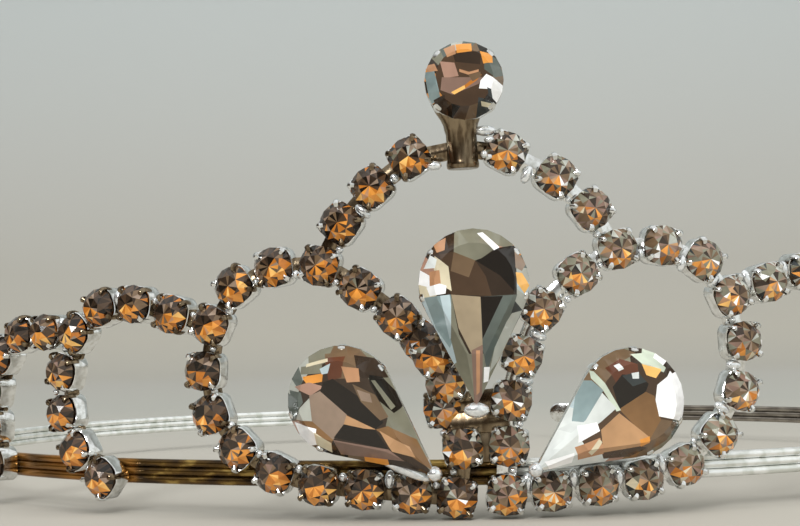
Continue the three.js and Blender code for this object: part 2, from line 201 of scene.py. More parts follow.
class Build:
    """Gathers faces in millimetres; each face may carry a colour for each of its corners."""

    def __init__(self):
        self.points, self.faces, self.colours = [], [], []

    def add(self, points, faces, place=None, colours=None):
        base = len(self.points)
        place = place or Matrix()
        self.points += [place @ Vector(p) for p in points]
        self.faces += [[base + i for i in face] for face in faces]
        self.colours += colours or [None] * len(faces)

    def knit(self):
        """Joins coloured faces into one skin: equal corners become one point, and a corner
        that lies on another face's edge is put into that edge."""
        numbers = {}
        for point in self.points:
            numbers.setdefault(tuple(round(c * KNIT) for c in point), len(numbers))
        points = np.array(list(numbers)) / KNIT
        faces, colours = [], []
        for face, shades in zip(self.faces, self.colours):
            corners = [numbers[tuple(round(c * KNIT) for c in self.points[i])] for i in face]
            knitted = []
            for k, corner in enumerate(corners):
                after = (k + 1) % len(corners)
                knitted.append((corner, shades[k]))
                knitted += on_edge(points, corner, corners[after], shades[k], shades[after])
            unlike = [pair for pair, other in zip(knitted, knitted[1:] + knitted[:1])
                      if pair[0] != other[0]]
            if len(unlike) > 2:
                faces.append([corner for corner, _ in unlike])
                colours.append([shade for _, shade in unlike])
        self.points = [Vector(p) for p in points]
        self.faces, self.colours = faces, colours

    def piece(self, name, material, slot, replaces=(), smooth_angle=None):
        painted = self.colours[0] is not None
        if painted:
            self.knit()
        mesh = bpy.data.meshes.new(name)
        mesh.from_pydata([TO_ROW @ p for p in self.points], [], self.faces)
        mesh.materials.append(material)
        if painted:
            attribute = mesh.color_attributes.new("facet", "FLOAT_COLOR", "CORNER")
            corners = [c for face in self.colours for c in face]
            attribute.data.foreach_set("color", np.array(corners, dtype=np.float32).ravel())
        if smooth_angle is not None:
            mesh.polygons.foreach_set("use_smooth", [True] * len(mesh.polygons))
            mesh.set_sharp_from_angle(angle=rad(smooth_angle))
        mesh.validate()
        obj = add_object(name, mesh)
        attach(obj, "root")
        if replaces:
            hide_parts(*replaces)


def loft(rings):
    """Points and faces of a capped skin through rings of equal numbers of points."""
    count = len(rings[0])
    points = [p for ring in rings for p in ring]
    faces = []
    for r in range(len(rings) - 1):
        for i in range(count):
            j = (i + 1) % count
            faces.append([r * count + i, r * count + j, (r + 1) * count + j, (r + 1) * count + i])
    faces.append(list(range(count))[::-1])
    faces.append([(len(rings) - 1) * count + i for i in range(count)])
    return points, faces


def silver_piece(name, skin, place, material, replaces=(), smooth_angle=40):
    """A piece that is a single skin."""
    build = Build()
    build.add(*skin, place)
    build.piece(name, material, "silver", replaces, smooth_angle)


def sweep(path, width, thickness, side_axis, grow=None):
    """A bar with rounded edges along a path of points; its width lies along side_axis, and
    grow says how much of its full size it has at each point."""
    sides, squareness = 8, 0.6
    rings = []
    across = Vector(side_axis).normalized()
    for i, point in enumerate(path):
        before, after = path[max(i - 1, 0)], path[min(i + 1, len(path) - 1)]
        run = (Vector(after) - Vector(before)).normalized()
        out = run.cross(across).normalized()
        share = grow[i] if grow else 1
        ring = []
        for k in range(sides):
            angle = (k + 0.5) / sides * TURN
            reach = 1 / max(abs(math.cos(angle)), abs(math.sin(angle))) ** squareness
            x = math.cos(angle) * reach * width / 2 * share
            y = math.sin(angle) * reach * thickness / 2 * share
            ring.append(Vector(point) + across * x + out * y)
        rings.append(ring)
    return loft(rings)


# ---- materials ----
def linear(hex_colour):
    channels = [int(hex_colour[i:i + 2], 16) / 255 for i in (0, 2, 4)]
    return tuple(c / 12.92 if c <= 0.04045 else ((c + 0.055) / 1.055) ** 2.4 for c in channels)


class Nodes:
    """Adds nodes to the tree of a material or of the world."""

    def __init__(self, owner):
        owner.use_nodes = True
        self.nodes, self.links = owner.node_tree.nodes, owner.node_tree.links

    def feed(self, node, inputs):
        """Sets inputs of a node, each to a value or to the output of another node."""
        for name, value in inputs.items():
            if isinstance(value, bpy.types.NodeSocket):
                self.links.new(value, node.inputs[name])
            else:
                node.inputs[name].default_value = value

    def new(self, kind, inputs, **settings):
        node = self.nodes.new(f"ShaderNode{kind}")
        for name, value in settings.items():
            setattr(node, name, value)
        self.feed(node, inputs)
        return node

    def noise(self, scale, detail, stretch=(1, 1, 1)):
        place = self.new("TexCoord", {}).outputs["Object"]
        mapping = self.new("Mapping", {"Vector": place, "Scale": stretch}).outputs["Vector"]
        inputs = {"Vector": mapping, "Scale": scale, "Detail": detail}
        return self.new("TexNoise", inputs).outputs["Fac"]

    def ramp(self, source, *stops):
        """Stops are (position, colour in hexadecimal or a number)."""
        node = self.new("ValToRGB", {"Fac": source})
        while len(node.color_ramp.elements) < len(stops):
            node.color_ramp.elements.new(0.5)
        for element, (position, shade) in zip(node.color_ramp.elements, stops):
            element.position = position
            element.color = (*(linear(shade) if isinstance(shade, str) else (shade,) * 3), 1)
        return node.outputs["Color"]

    def axes(self, kind):
        vector = self.new("TexCoord", {}).outputs[kind]
        return self.new("SeparateXYZ", {"Vector": vector}).outputs

    def share(self, source, low, high):
        """Rises smoothly from 0 where the source is low to 1 where it is high."""
        inputs = {"Value": source, "From Min": low, "From Max": high}
        return self.new("MapRange", inputs, interpolation_type="SMOOTHSTEP").outputs["Result"]

    def product(self, first, second):
        return self.new("Math", {0: first, 1: second}, operation="MULTIPLY").outputs["Value"]

    def mixed(self, first, second, factor, blend="MIX"):
        inputs = {"Factor": factor, "A": first, "B": second}
        return self.new("Mix", inputs, data_type="RGBA", blend_type=blend).outputs["Result"]


def new_material(name):
    material = bpy.data.materials.new(name)
    tree = Nodes(material)
    return material, tree, tree.nodes["Principled BSDF"]


DENT_DEPTH = 0.00006  # metres


def silver(name, bright, dull, rough, uneven, grain=1800, stretch=(1, 1, 1), metallic=1.0):
    """Polished plate: a little cloudy, with the shallow unevenness of hand soldering."""
    material, tree, shader = new_material(name)
    cloud = tree.noise(grain, 3, stretch)
    dents = tree.noise(grain * 0.8, 1, stretch)
    bump = tree.new("Bump", {"Strength": uneven, "Distance": DENT_DEPTH, "Height": dents})
    tree.feed(shader, {
        "Metallic": metallic,
        "Base Color": tree.ramp(cloud, (0.38, dull), (0.58, bright)),
        "Roughness": tree.ramp(cloud, (0.3, rough[1]), (0.7, rough[0])),
        "Normal": bump.outputs["Normal"],
    })
    return material


def foiled_crystal(name):
    """Clear glass over a mirror foil, painted: each facet's colour is a painted reflection of the
    light that it sends back, and it glows a little with that colour.
    """
    material, tree, shader = new_material(name)
    facet = tree.new("VertexColor", {}, layer_name="facet").outputs["Color"]
    shade = tree.ramp(tree.noise(1100, 1), (0.3, 0.88), (0.7, 1.0))
    colour = tree.mixed(facet, shade, 1, "MULTIPLY")
    tree.feed(shader, {
        "Metallic": 0.1, "Roughness": 0.14, "IOR": 1.5, "Coat Weight": 0.15,
        "Coat Roughness": 0.02, "Coat IOR": 1.56, "Base Color": colour,
        # Emission: a painted glow of the facets' painted colours.
        "Emission Color": colour, "Emission Strength": 0.14,
    })
    return material


def band_silver(name):
    """The band's plate, with painted reflections of the room in its colour: dark brown at the
    front on the wearer's right, amber further round there, grey behind on the wearer's left, and
    bright elsewhere."""
    material = silver(name, "fbfdfb", "e0e3dd", (0.08, 0.2), 0.15, 900, metallic=0.7)
    tree = Nodes(material)
    shader = tree.nodes["Principled BSDF"]
    place = tree.axes("Object")

    def share(axis, low, high):
        return tree.share(place[axis], low * MM, high * MM)

    # Painted reflections of the room: dark brown and amber at the front on the wearer's right,
    # grey behind on the left.
    streak = tree.noise(420, 2, (1, 1, 3.2))
    dark_reflection = tree.ramp(streak, (0.35, "3b2c1b"), (0.56, "6c5125"), (0.68, "b09250"))
    amber = tree.ramp(tree.noise(160, 1), (0.4, "6b4a20"), (0.6, "c98a3c"))
    grey = tree.ramp(streak, (0.4, "7d766d"), (0.6, "9d968b"))
    front = share("Y", 2, -12)
    patch = tree.product(share("X", -29.4, -30.8), share("X", -47, -45))
    band = shader.inputs["Base Color"].links[0].from_socket
    band = tree.mixed(band, dark_reflection, tree.product(share("X", 5, 1.5), front))
    band = tree.mixed(band, amber, tree.product(patch, front))
    band = tree.mixed(band, grey, tree.product(share("X", 4, 16), share("Y", 2, 20)))
    tree.feed(shader, {"Base Color": band})
    return material


plate = silver("silver_plate", "f8f9f8", "dcdcd8", (0.07, 0.18), 0.25)
wire_silver = band_silver("silver_wire")
solder = silver("solder", "fbfdfe", "dfe3e5", (0.1, 0.22), 0.4, 2600, metallic=0.75)
# Plate painted dark brown: painted shade and painted reflections of the dark room, for plate that
# lies in shade.
shadowed = silver("shaded_plate", "93826a", "5f503e", (0.14, 0.28), 0.4, 900, (2.4, 2.4, 0.6))
glass = foiled_crystal("foiled_crystal")

# ---- painted reflections and highlights: the colours that the facets send back ----
TONES = {
    "k": "1b150f", "d": "35291f", "b": "4a3829", "m": "6e5943", "t": "8f7b6a", "q": "83695c",
    "a": "b8702a", "o": "de9442", "y": "f6bd6c", "p": "a88472", "P": "b98a66", "B": "9c8c73",
    "g": "7b7968", "s": "acaea5", "c": "d6cbae", "w": "ffffff", "u": "b6c6ca", "v": "87999a",
    "r": "5f3826", "e": "59605a", "n": "353a3a", "N": "7d5c3a", "T": "b98f67", "M": "c3cdbb",
    "L": "d9dedb",
}


def sloped(tone, centre, corners, heading, depth, least=0.45, most=1.6):
    """The tone at a facet's corners, with a slope of light across it."""
    base = linear(TONES[tone])
    colours = []
    for x, y in corners:
        slope = (x - centre[0]) * math.cos(heading) + (y - centre[1]) * math.sin(heading)
        gain = clamp(1 + depth * slope, least, most)
        colours.append((*(min(1.0, channel * gain) for channel in base), 1.0))
    return colours


# ---- cups ----
CUP_HALF = 1.6  # half the width of the rounded square
CUP_CORNER = 0.9  # radius of its corners
CUP_REACH = (CUP_HALF - CUP_CORNER) * math.sqrt(2) + CUP_CORNER  # to a corner's outside
GEM_RADIUS = 1.68
GEM_GIRDLE = 1.9  # heights above the back of the cup
GEM_TABLE = 2.86
TABLE_RADIUS = 0.88
CLAW_PATH = ((-0.08, 0), (0, 0.55), (-0.02, 1))  # from its reach, and share of its height
CLAW_TAPER = [0.9, 1, 1, 1, 0.95, 0.7]
DIAGONALS = [(0.5 + k) * math.pi / 2 for k in range(4)]


def cup_outline(inset, at_corner, between):
    """A square with rounded corners, whose edge may rise to its corners."""
    radius = max(CUP_CORNER - inset, 0.05)
    middle = CUP_HALF - inset - radius
    ring = []
    for quarter in range(4):
        x = middle * (1 if quarter in (0, 3) else -1)
        y = middle * (1 if quarter in (0, 1) else -1)
        for k in range(7):
            angle = (quarter + k / 6) * math.pi / 2
            share = 1 - abs(k - 3) / 3
            height = between + (at_corner - between) * (0.25 + 0.75 * share)
            ring.append((x + radius * math.cos(angle), y + radius * math.sin(angle), height))
        after = (quarter + 1) * math.pi / 2
        corner_x, corner_y, _ = ring[-1]
        for share in (0.3, 0.7):
            step = 2 * middle * share
            ring.append((corner_x - math.sin(after) * step,
                         corner_y + math.cos(after) * step, between))
    return ring


def claws(reach, low, high, tip_radius, tip_height, width, thickness, angles):
    """Claws bent in over a stone, as (points, faces) pairs."""
    made = []
    for angle in angles:
        out = Vector((math.cos(angle), math.sin(angle), 0))
        across = Vector((-math.sin(angle), math.cos(angle), 0))
        profile = [(reach + past, low + (high - low) * share) for past, share in CLAW_PATH] + [
            (reach - 0.12, high + (tip_height - high) * 0.75),
            ((reach + tip_radius) / 2, tip_height), (tip_radius, tip_height - 0.06),
        ]
        path = [out * r + Vector((0, 0, z)) for r, z in profile]
        made.append(sweep(path, width, thickness, across, CLAW_TAPER))
    return made


# Rings of (inset, height at the corners, height between them), up the outside of a cup
# and down its inside to where the stone hides it.
CUP = loft([cup_outline(*ring) for ring in (
    (0.5, 0, 0), (0.14, 0.05, 0.05), (0, 0.24, 0.24), (0, 1.1, 1.1), (0, 1.82, 1.5),
    (0.06, 1.87, 1.55), (0.17, 1.84, 1.52), (0.22, 0.6, 0.6))])
CUP_CLAWS = claws(CUP_REACH + 0.02, 1.2, 2.0, 1.34, 2.38, 0.44, 0.24, DIAGONALS)


def link_bar(first, second, depth, width, thickness):
    """A bar from one cup to another; depth is its middle's height above their backs."""
    start = first @ Vector((0, 0, depth))
    end = second @ Vector((0, 0, depth))
    normal = (first.col[2].xyz + second.col[2].xyz).normalized()
    across = (end - start).cross(normal).normalized()
    return sweep([start, start.lerp(end, 0.5), end], width, thickness, across)


def bead(radius, stretch):
    """A blob of solder."""
    levels, sides = 8, 14
    wide, high, deep = (radius * s for s in stretch)
    rings = []
    for r in range(1, levels):
        polar = r / levels * math.pi
        rings.append([(wide * math.sin(polar) * math.cos(k / sides * TURN),
                       high * math.sin(polar) * math.sin(k / sides * TURN),
                       -deep * math.cos(polar)) for k in range(sides)])
    return loft(rings)


# ---- round crystals ----
def outline_ring(radius, height, count, start=0, reach=1):
    """A circle, or a teardrop with its round end at the top and its tip below, which is
    reach radii from the middle of the round end."""
    touch = math.acos(1 / reach)
    ring = []
    for i in range(count):
        angle = start + TURN * i / count
        from_tip = abs((angle + math.pi / 2 + math.pi) % TURN - math.pi)
        stretch = 1 / math.cos(touch - from_tip) if from_tip < touch else 1
        ring.append((radius * stretch * math.cos(angle), radius * stretch * math.sin(angle),
                     height))
    return ring


def halves(ring, angle, corners):
    """What one facet shows of two back facets, on either side of a line through it. They
    face a little to each side of it, in radians."""
    kite_aside, aside, past_middle = 0.15, 0.12, 0.45
    if ring == "back":
        return [(ring, angle, corners)]
    if len(corners) == 4:
        a, b, c, d = corners
        return [(ring, angle - kite_aside, [a, b, c]), (ring, angle + kite_aside, [a, c, d])]
    a, b, c = corners
    cut = tuple((1 - past_middle) * q + past_middle * r for q, r in zip(b, c))
    return [(ring, angle - aside, [a, b, cut]), (ring, angle + aside, [a, cut, c])]


def brilliant(girdle, girdle_height, table, table_height):
    """Facets of a round crystal as (ring name, angle, corners)."""
    step = math.pi / 4
    star_out, star_down = 0.5, 0.36  # where the stars' tips are, from table to girdle
    middle = (0, 0, table_height)
    rise = table_height - girdle_height
    tables = outline_ring(table, table_height, 8)
    stars = outline_ring(table + (girdle - table) * star_out, table_height - rise * star_down,
                         8, step / 2)
    mains = outline_ring(girdle, girdle_height, 8)
    betweens = outline_ring(girdle, girdle_height, 8, step / 2)
    lower = outline_ring(girdle * 0.74, girdle_height - 0.55, 8)
    foot = (0, 0, girdle_height - 1.3)
    facets = []
    for i in range(8):
        j = (i + 1) % 8
        h = (i - 1) % 8
        at, mid = i * step, (i + 0.5) * step
        facets += [
            ("table", mid, [middle, tables[i], tables[j]]),
            ("star", mid, [tables[i], stars[i], tables[j]]),
            ("kite", at, [tables[i], stars[h], mains[i], stars[i]]),
            ("edge", at + step / 4, [stars[i], mains[i], betweens[i]]),
            ("edge", mid + step / 4, [stars[i], betweens[i], mains[j]]),
            ("back", at, [mains[i], lower[i], lower[j], mains[j], betweens[i]]),
            ("back", at, [lower[i], foot, lower[j]]),
        ]
    return [part for facet in facets for part in halves(*facet)]


def faces_up(corners):
    a, b, c = (Vector(p) for p in corners[:3])
    return (b - a).cross(c - a).z > 0


ROUND = brilliant(GEM_RADIUS, GEM_GIRDLE, TABLE_RADIUS, GEM_TABLE)

# How often each tone comes back from the facets: from the side that faces the warm light,
# from the side away from it, from between them and from the edge. One set is for the
# wearer's right, where the room is dark and warm, and one for the pale bright left.
WARM = {"lit": "oyoyaoaoPo", "far": "kdbdbkdmtd", "side": "bdambtkoab", "edge": "dkbdkmbadk"}
COOL = {"lit": "oaTPotaoyc", "far": "dgmstgqbdm", "side": "gmtdqmgwbT", "edge": "gmdbqgmtns"}


def stone_tone(rng, ring, lean, coolness):
    palette = COOL if rng.random() < coolness else WARM
    if ring in ("edge", "back"):
        return rng.choice(palette["edge"])
    if lean > 0.5:
        return rng.choice(palette["lit" if rng.random() < 0.72 else "side"])
    return rng.choice(palette["side" if lean > -0.15 else "far"])


def add_stone(build, place, facets, turn, coolness, rng):
    """Puts a crystal in a seat whose X is turned so far from the band's run. The light
    comes from below, and more from the wearer's right for the cool ones."""
    lit = rad(-62 - 45 * coolness + rng.uniform(-18, 18))
    for ring, angle, corners in facets:
        middle = sum((Vector(c) for c in corners), Vector()) / len(corners)
        tone = stone_tone(rng, ring, math.cos(angle + turn - lit), coolness)
        flat = [c[:2] for c in corners]
        colours = sloped(tone, middle.xy, flat, rng.uniform(0, TURN), 0.5)
        face = list(range(len(corners)))
        if faces_up(corners) == (ring == "back"):
            face.reverse()
            colours.reverse()
        build.add(corners, [face], place, [colours])


# ---- chains ----
def coolness_at(along):
    """How much of a crystal, so far along the band, is in the cool tones."""
    return clamp(0.45 + along / 16, 0.03, 0.97)


CHAIN_LINK = (0.62, 1.7, 0.85)
SHADED_CLAWS = 0.6  # the share of the claws on the wearer's right put in the plate with painted shade
LARGE_BEADS = {1: 0.55, -1: 0.2}  # the share of them on each side


def chain(name, side, places, replaces, closed=False, stub_from=None, stone_nodes=None):
    """One piece of cups with their claws, one of links with the claws in painted shade, one of the
    solder beads, and one for each crystal. Returns the seats."""
    seats = [seat(side, place) for place in places]
    metal = Build()
    links = Build()
    rng = random.Random(f"{name} claws")
    for place in seats:
        metal.add(*CUP, place)
        for claw in CUP_CLAWS:
            # Some claws on the wearer's right go in the plate with painted shade.
            shaded = side < 0 and rng.random() < SHADED_CLAWS
            (links if shaded else metal).add(*claw, place)
    runs = list(zip(seats, seats[1:]))
    if closed:
        runs.append((seats[-1], seats[0]))
    if stub_from is not None:
        runs.append((stub_from, seats[0]))
    metal.piece(f"{name}_cups", plate, "silver", [replaces], 38)
    for first, second in runs:
        links.add(*link_bar(first, second, *CHAIN_LINK))
    # On the wearer's right the links are in the plate with painted shade.
    links.piece(f"{name}_links", plate if side > 0 else shadowed, "silver", (), 38)
    joints = Build()
    rng = random.Random(f"{name} solder")
    for first, second in runs:
        middle = (first.translation + second.translation) / 2
        run = (second.translation - first.translation).normalized()
        out = first.col[2].xyz
        inward = out.cross(run) * side
        across = run.cross(out).normalized()
        turn = Matrix((across, run, out)).transposed().to_4x4()
        large = rng.random() < LARGE_BEADS[side]
        spot = middle + inward * rng.uniform(0.4, 1.0) + out * rng.uniform(1.3, 1.8)
        stretch = (rng.uniform(1.5, 1.9), 0.95, 0.8) if large else (1.1, 1, 0.9)
        size = 0.46 if large else rng.uniform(0.22, 0.34)
        joints.add(*bead(size, stretch), Matrix.Translation(spot) @ turn)
    joints.piece(f"{name}_solder", solder, "silver", (), 60)
    front = 0
    for i, (place, spot) in enumerate(zip(places, seats)):
        nodes = ()
        if stone_nodes and place[2] == 0:
            front += 1
            nodes = (f"{stone_nodes}_{front:02d}",)
        gem = Build()
        rng = random.Random(f"{name}{i}")
        add_stone(gem, spot, ROUND, side * rad(place[3]), coolness_at(side * place[0]), rng)
        gem.piece(f"{name}_gem_{i + 1:02d}", glass, "crystal", nodes)
    return seats


arch_ends = {}
columns = {}
for hand, side in SIDES.items():
    petal = walk(PETAL_START, PETAL_OUTSIDE + PETAL_INSIDE[hand])
    petal_seats = chain(f"petal_{hand}", side, petal, f"petal_chain_{hand}", closed=True,
                        stone_nodes=f"petal_stone_{hand}")
    columns[hand] = petal_seats[-3:-1]
    arch = walk(petal[ARCH_FROM][:2], ARCH_HEADINGS[hand])
    arch_seats = chain(f"arch_{hand}", side, arch[1:], f"arch_chain_{hand}",
                       stub_from=petal_seats[ARCH_FROM])
    arch_ends[hand] = arch_seats[-1]
    second = walk(petal[SCALLOP_FROM][:2], SECOND_HEADINGS)
    second_seats = chain(f"second_{hand}", side, second[1:], f"second_scallop_{hand}",
                         stub_from=petal_seats[SCALLOP_FROM])
    third = walk(second[THIRD_FROM][:2], THIRD_HEADINGS)
    chain(f"third_{hand}", side, third[1:], f"third_scallop_{hand}",
          stub_from=second_seats[THIRD_FROM - 1])


def halfway(first, second):
    middle = (first.translation + second.translation) / 2
    return Matrix.Translation(middle) @ first.to_3x3().to_4x4()


# The petals' last runs stand side by side under the middle teardrop, tied to each other.
COLUMN_TIE = (1.3, 2.4, 0.9)
ties = Build()
for left, right in zip(*([high, halfway(high, low), low] for high, low in columns.values())):
    ties.add(*link_bar(left, right, *COLUMN_TIE))
# The ties are in the plate with painted shade.
ties.piece("column_ties", shadowed, "silver", (), 40)


# ---- band ----
DRAWN_HALF_WIDTH = BAND_HALF_WIDTH + WIRE_REACH - WIRE_RADIUS  # keeps within the CAD's box
WIRE_TOUCH = 0.362  # half a wire's height: drawn wires touch, which the CAD's may not


def band_point(angle, height):
    across, deep = DRAWN_HALF_WIDTH * math.sin(angle), BAND_HALF_DEPTH * math.cos(angle)
    return Vector((across, -deep, height))


def band_wire(name, height):
    steps, sides = 180, 12
    rings = []
    for i in range(steps + 1):
        angle = rad(BAND_END_ANGLE) * (2 * i / steps - 1)
        point = band_point(angle, height)
        out = Vector((BAND_HALF_DEPTH * math.sin(angle), -BAND_HALF_WIDTH * math.cos(angle), 0))
        out.normalize()
        rings.append([point + out * WIRE_RADIUS * math.cos(k / sides * TURN)
                      + Vector((0, 0, WIRE_TOUCH * math.sin(k / sides * TURN)))
                      for k in range(sides)])
    silver_piece(f"wire_{name}", loft(rings), None, wire_silver, (f"band_wire_{name}",))


for level, height in (("top", WIRE_SPACING), ("middle", 0), ("bottom", -WIRE_SPACING)):
    band_wire(level, height)


def band_tip(hand, side):
    """A flat tip with softened edges and a round end."""
    angle = side * rad(BAND_END_ANGLE)
    end = band_point(angle, 0)
    run = Vector((BAND_HALF_WIDTH * math.cos(angle), BAND_HALF_DEPTH * math.sin(angle), 0))
    run = run.normalized() * side
    up = Vector((0, 0, 1))
    place = Matrix.Translation(end) @ Matrix((run, up, run.cross(up))).transposed().to_4x4()
    half, thick = TIP_HEIGHT / 2, TIP_THICKNESS / 2
    straight = TIP_LENGTH - TIP_SOCKET - half
    soft, steps = 0.22, 12

    def outline(inset, z):
        reach = half - inset
        ring = [(-TIP_SOCKET + inset, -reach, z)]
        for k in range(steps + 1):
            turn = -math.pi / 2 + k / steps * math.pi
            ring.append((straight + reach * math.cos(turn), reach * math.sin(turn), z))
        ring.append((-TIP_SOCKET + inset, reach, z))
        return ring

    rings = [outline(soft, -thick), outline(soft * 0.3, -thick + soft * 0.3),
             outline(0, -thick + soft), outline(0, thick - soft),
             outline(soft * 0.3, thick - soft * 0.3), outline(soft, thick)]
    silver_piece(f"tip_{hand}", loft(rings), place, plate, (f"band_tip_{hand}",), 50)


for hand, side in SIDES.items():
    band_tip(hand, side)


# ---- teardrops and other large crystals ----
def area_of(shape):
    """Signed: positive where the outline runs anticlockwise."""
    return sum(a.cross(b) for a, b in zip(shape, shape[1:] + shape[:1])) / 2


TABLE_SHARE, BACK_SHARE = 0.72, 0.6  # radii of the table and the back, to the girdle's
BACK_HEIGHT = 0.5
GIRDLE_THICKNESS = 0.22
GEM_INSET = 0.06  # of a large crystal in its setting


def large_crystal(name, place, turn, radius, reach, heights, edge_tones, views, replaces):
    """A foiled crystal: a flat table, a ring of crown facets round it, and under them painted
    reflections of its back facets. edge_tones has one tone for each crown facet, from the top on.
    The first view is the tone of the whole table; after it come the painted reflections as (tone,
    x, y, x, y, ...), the later over the earlier, in radii from the middle of the round end, as
    they look with the tiara upright. turn is the crystal's own."""
    girdle_z, table_z = heights
    count = len(edge_tones)
    start = math.pi / 2
    between = start + math.pi / count
    outer = outline_ring(radius, girdle_z, count, start, reach)
    table = outline_ring(radius * TABLE_SHARE, table_z, count, between, reach)
    unturn = Matrix.Rotation(-turn, 2)
    points = [Vector(p[:2]) for p in outer + table]
    planes, faces, tones = [], [], []
    for i in range(count):
        j = (i + 1) % count
        planes += [(outer[i], outer[j], table[i]), (outer[j], table[j], table[i])]
        faces += [[i, j, count + i], [j, count + j, count + i]]
        tones += [edge_tones[i], edge_tones[i]]
    planes.append(table[:3])
    faces.append([count + i for i in range(count)])
    tones.append(views[0][0])
    for tone, *outline in views[1:]:
        shape = [Vector(p) for p in zip(outline[::2], outline[1::2])]
        if area_of(shape) < 0:
            shape.reverse()
        base = len(points)
        points += [unturn @ p * radius for p in shape]
        faces.append(list(range(base, len(points))))
        tones.append(tone)
    flat, _, pieces, _, _, origins = delaunay_2d_cdt(points, [], faces, 1, 1e-5, True)
    rng = random.Random(name)
    slopes = [(rng.uniform(0, TURN), rng.uniform(0.04, 0.1)) for _ in faces]
    middles = [sum((points[i] for i in face), Vector((0, 0))) / len(face) for face in faces]
    gem = Build()
    for piece, origin in zip(pieces, origins):
        ground = [o for o in origin if o < len(planes)]
        if not ground:
            continue
        a, b, c = (Vector(corner) for corner in planes[ground[0]])
        normal = (b - a).cross(c - a)
        corners = []
        for i in piece:
            x, y = flat[i]
            z = a.z - (normal.x * (x - a.x) + normal.y * (y - a.y)) / normal.z
            corners.append((x, y, z))
        top = max(origin)
        flat_corners = [c[:2] for c in corners]
        colours = sloped(tones[top], middles[top], flat_corners, *slopes[top], 0.78, 1.22)
        face = list(range(len(corners)))
        if not faces_up(corners):
            face.reverse()
            colours.reverse()
        gem.add(corners, [face], place, [colours])
    under = outline_ring(radius * BACK_SHARE, BACK_HEIGHT, count, start, reach)
    skirt = outline_ring(radius, girdle_z - GIRDLE_THICKNESS, count, start, reach)
    grey = [(*linear(TONES["s"]), 1.0)]
    for i in range(count):
        j = (i + 1) % count
        for low, high in ((skirt, outer), (under, skirt)):
            gem.add([low[i], low[j], high[j], high[i]], [[0, 1, 2, 3]], place, [grey * 4])
    gem.add(under, [list(range(count))[::-1]], place, [grey * count])
    gem.piece(f"{name}_gem", glass, "crystal", [replaces])


def dish(place, radius, reach, shoulder, rim, claw_angles, claw_size):
    """A thin setting whose rim lies just under the edge of its crystal. claw_size is a
    claw's width, its thickness and how far it comes in over the crystal."""
    profile = ((1.9, 0), (1.2, 0.12), (0.2, shoulder - 0.1), (0.05, shoulder + 0.15),
               (0.05, rim - 0.1), (0.1, rim), (0.22, rim + 0.01), (0.3, rim - 0.1),
               (0.34, shoulder), (2.0, 0.3))
    metal = Build()
    metal.add(*loft([outline_ring(radius - inset, height, 64, math.pi / 2, reach)
                     for inset, height in profile]), place)
    width, thickness, over = claw_size
    for angle in claw_angles:
        at = Vector(outline_ring(radius, 0, 1, angle, reach)[0])
        turn = at.xy.angle_signed(Vector((1, 0)))
        for claw in claws(at.length - 0.06, shoulder - 0.6, rim + 0.2, at.length - over,
                          rim + 0.5, width, thickness, [turn]):
            metal.add(*claw, place)
    return metal


CENTRE_EDGE = "gdmdpwcuuuuggBgnsuseopwg"
CENTRE_VIEWS = [
    ("d",),
    ("d", -0.66, 0.78, -0.3, 1.02, -0.3, 0.5, -0.62, 0.45),
    ("P", -0.72, 0.72, -0.49, 0.84, -0.52, 0.6, -0.66, 0.56),
    ("g", -0.33, 1.0, 0.1, 1.02, 0.4, 0.62, 0.14, 0.44, 0.02, 0.4, -0.36, 0.55),
    ("g", 0.12, 1.02, 0.4, 0.95, 0.74, 0.72, 0.68, 0.6, 0.44, 0.66, 0.16, 0.92),
    ("w", 0.07, 0.9, 0.17, 0.92, 0.46, 0.63, 0.36, 0.57),
    ("b", -0.62, 0.52, -0.36, 0.56, 0.02, 0.4, 0.3, 0.1, 0.32, -0.24, -0.42, -0.2),
    ("m", -0.36, 0.56, 0.02, 0.4, -0.1, 0.1, -0.42, 0.22),
    ("k", 0.02, 0.4, 0.12, 0.43, 0.44, 0.62, 0.76, 0.68, 0.75, -0.22, 0.46, 0.12),
    ("d", 0.02, 0.4, 0.46, 0.12, 0.75, -0.22, 0.3, -0.24, 0.2, 0.12),
    ("c", -0.7, 0.5, -0.46, 0.3, -0.41, -0.14, -0.6, -0.02, -0.72, 0.26),
    ("P", -0.8, 0.22, -0.62, 0.24, -0.6, -0.02, -0.8, -0.04),
    ("w", -0.86, -0.06, -0.62, 0.0, -0.5, -0.04, -0.52, -0.18, -0.8, -0.22),
    ("L", -0.9, 0.28, -0.78, 0.52, -0.66, 0.44, -0.7, 0.28),
    ("v", -0.9, -0.24, -0.43, -0.2, -0.34, -0.85, -0.46, -1.15, -0.7, -0.8),
    ("u", -0.62, -0.22, -0.45, -0.2, -0.36, -0.85, -0.46, -1.0),
    ("g", -0.42, -0.2, -0.3, -0.9, -0.08, -1.35, -0.02, -2.2, -0.3, -1.6, -0.44, -1.0),
    ("B", -0.42, -0.2, 0.1, -0.25, 0.12, -1.2, -0.06, -1.3, -0.3, -0.8),
    ("q", -0.08, -1.2, 0.12, -1.1, 0.1, -2.15, -0.04, -2.2),
    ("P", 0.0, -1.2, 0.07, -1.2, 0.06, -1.95, 0.0, -2.0),
    ("e", 0.1, -0.25, 0.76, -0.22, 0.62, -0.62, 0.34, -1.15, 0.2, -1.6, 0.12, -1.2),
    ("k", 0.1, -0.25, 0.5, -0.24, 0.22, -0.8, 0.12, -1.0),
    ("s", 0.56, -0.7, 0.66, -0.55, 0.86, -0.5, 0.4, -1.4, 0.24, -1.6, 0.34, -1.15),
    ("w", 0.14, -1.5, 0.25, -1.5, 0.22, -1.76, 0.13, -1.78),
    ("t", 0.74, 0.62, 0.95, 0.35, 0.86, 0.2, 0.74, 0.26),
    ("y", 0.74, 0.18, 0.86, 0.17, 1.0, -0.05, 0.9, -0.2, 0.76, -0.02),
]
RIGHT_EDGE = "eseepgmkkmodgggggggmmggs"
